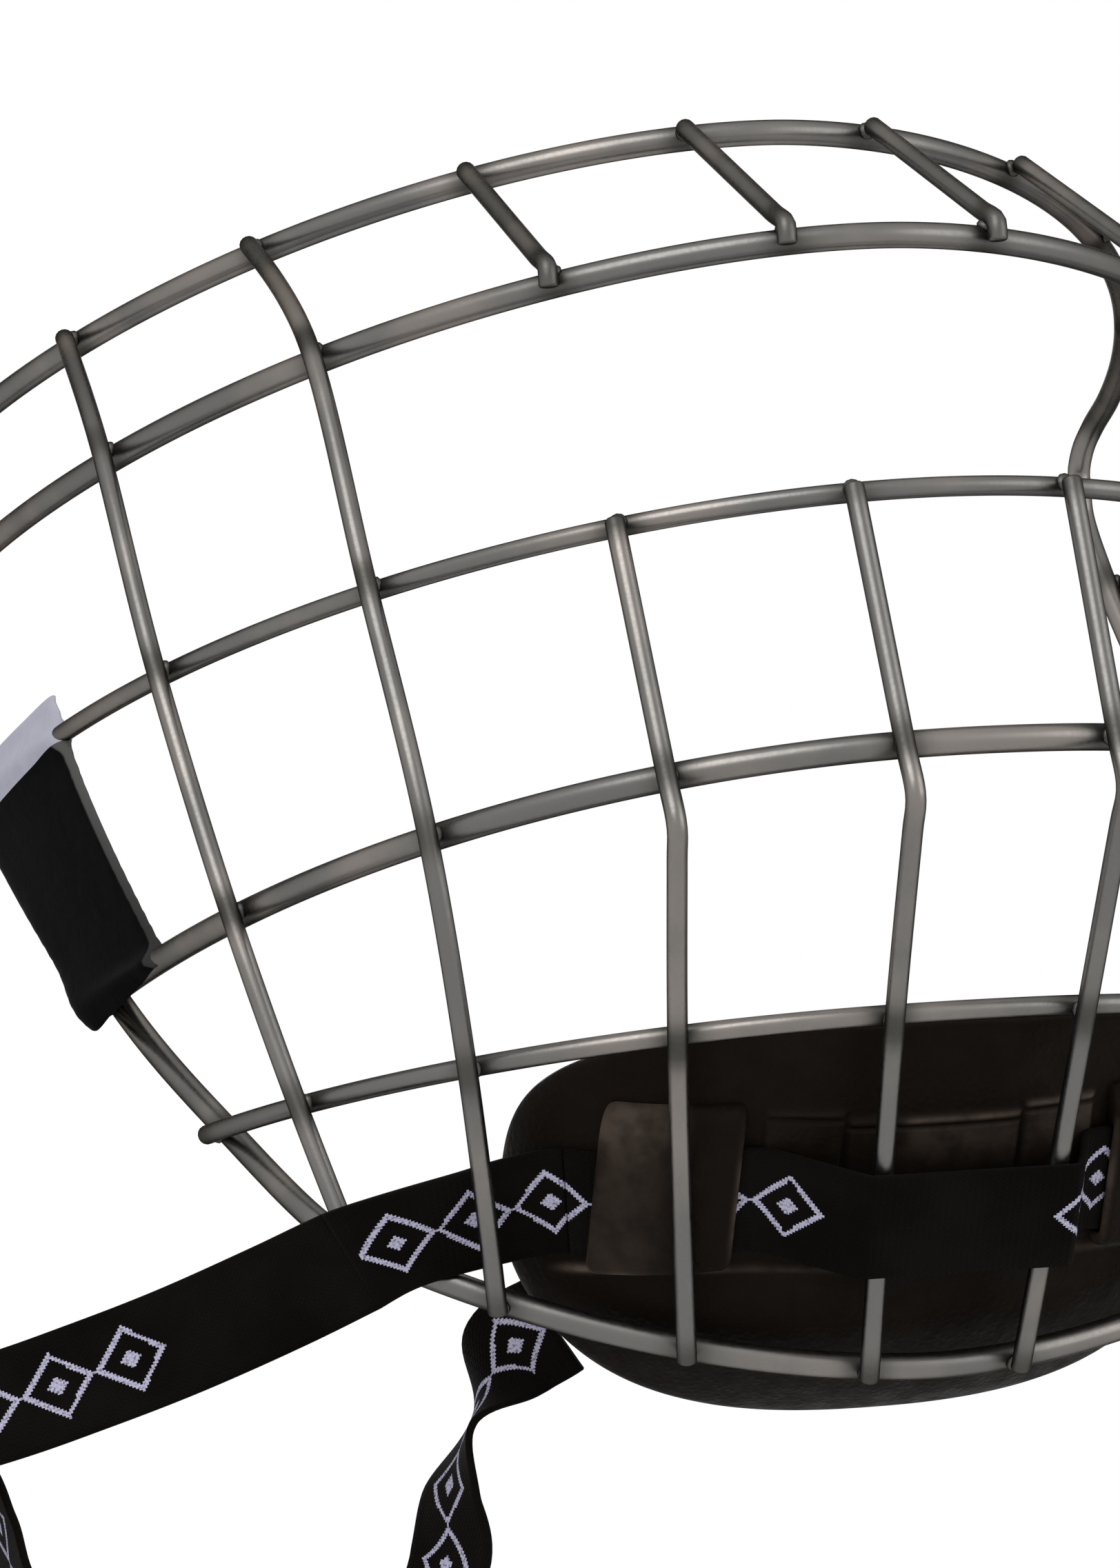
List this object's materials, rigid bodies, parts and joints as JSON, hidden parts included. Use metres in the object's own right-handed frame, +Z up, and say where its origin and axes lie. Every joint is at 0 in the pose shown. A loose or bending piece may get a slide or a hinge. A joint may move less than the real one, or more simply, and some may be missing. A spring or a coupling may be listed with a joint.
{
  "type": "hockey face cage",
  "caption": "Welded wire face cage with an eye opening, padded chin cup, threaded webbing and side harness loops with snap tabs; it guards a player's face on a helmet.",
  "frame": {"origin": "centre line of the top bar at the middle of the brow, where the helmet clips hold the cage", "axes": "+Z up as worn, the face of the cage looks to -Y, +X to the wearer's left"},
  "size_m": [0.3994, 0.2197, 0.2408],
  "materials": {
    "steel_wire": "satin plated, slightly warm grey",
    "cup_plastic": "moulded satin black with a fine leather grain",
    "foam": "closed-cell foam, matte black",
    "webbing": "woven black nylon",
    "sleeve_vinyl": "soft black vinyl with a pale grey top band",
    "buckle_plastic": "moulded black",
    "socket_metal": "nickel plated"
  },
  "bodies": {
    "cage": {"top_bar": "steel_wire", "brow_bar": "steel_wire", "eye_bar": "steel_wire", "nose_bar": "steel_wire", "mouth_bar": "steel_wire", "chin_bar": "steel_wire", "left_side_wire": "steel_wire", "left_outer_upright": "steel_wire", "left_cheek_upright": "steel_wire", "left_brow_upright_outer": "steel_wire", "left_brow_upright_inner": "steel_wire", "left_lower_upright_outer": "steel_wire", "left_lower_upright_inner": "steel_wire", "right_side_wire": "steel_wire", "right_outer_upright": "steel_wire", "right_cheek_upright": "steel_wire", "right_brow_upright_outer": "steel_wire", "right_brow_upright_inner": "steel_wire", "right_lower_upright_outer": "steel_wire", "right_lower_upright_inner": "steel_wire", "left_label_sleeve": "sleeve_vinyl", "right_label_sleeve": "sleeve_vinyl"},
    "chin_cup": {"chin_cup": "cup_plastic", "chin_pad": "foam", "front_strap": "webbing", "left_strap_root": "webbing", "right_strap_root": "webbing"},
    "left_loop": {"left_upper_webbing": "webbing", "left_lower_webbing": "webbing"},
    "left_tab": {"left_snap_tab": "buckle_plastic", "left_snap_socket": "socket_metal"},
    "left_keeper": {"left_strap_keeper": "buckle_plastic"},
    "right_loop": {"right_upper_webbing": "webbing", "right_lower_webbing": "webbing"},
    "right_tab": {"right_snap_tab": "buckle_plastic", "right_snap_socket": "socket_metal"},
    "right_keeper": {"right_strap_keeper": "buckle_plastic"}
  },
  "joints": [
    {"name": "chin_cup_slide", "type": "slide", "parent": "cage", "child": "chin_cup", "axis": [0, -0.506, 0.8626], "range_m": [-0.003, 0.008], "deforming": ["left_strap_root", "right_strap_root"]},
    {"name": "left_loop_swing", "type": "hinge", "parent": "chin_cup", "child": "left_loop", "pos_m": [0.0838, -0.01025, -0.16931], "axis": [-0.8749, 0.4, -0.2728], "range_deg": [-20, 25]},
    {"name": "left_tab_swivel", "type": "hinge", "parent": "left_loop", "child": "left_tab", "pos_m": [0.1718, 0.03575, -0.19549], "axis": [0.1955, 0.0551, 0.9792], "range_deg": [-35, 35]},
    {"name": "left_keeper_slide", "type": "slide", "parent": "left_loop", "child": "left_keeper", "axis": [-0.9424, -0.2656, 0.2031], "range_m": [-0.003, 0.003]},
    {"name": "right_loop_swing", "type": "hinge", "parent": "chin_cup", "child": "right_loop", "pos_m": [-0.0838, -0.01025, -0.16931], "axis": [-0.8749, -0.4, 0.2728], "range_deg": [-20, 25]},
    {"name": "right_tab_swivel", "type": "hinge", "parent": "right_loop", "child": "right_tab", "pos_m": [-0.1718, 0.03575, -0.19549], "axis": [-0.1955, 0.0551, 0.9792], "range_deg": [-35, 35]},
    {"name": "right_keeper_slide", "type": "slide", "parent": "right_loop", "child": "right_keeper", "axis": [0.9424, -0.2656, 0.2031], "range_m": [-0.003, 0.003]}
  ]
}
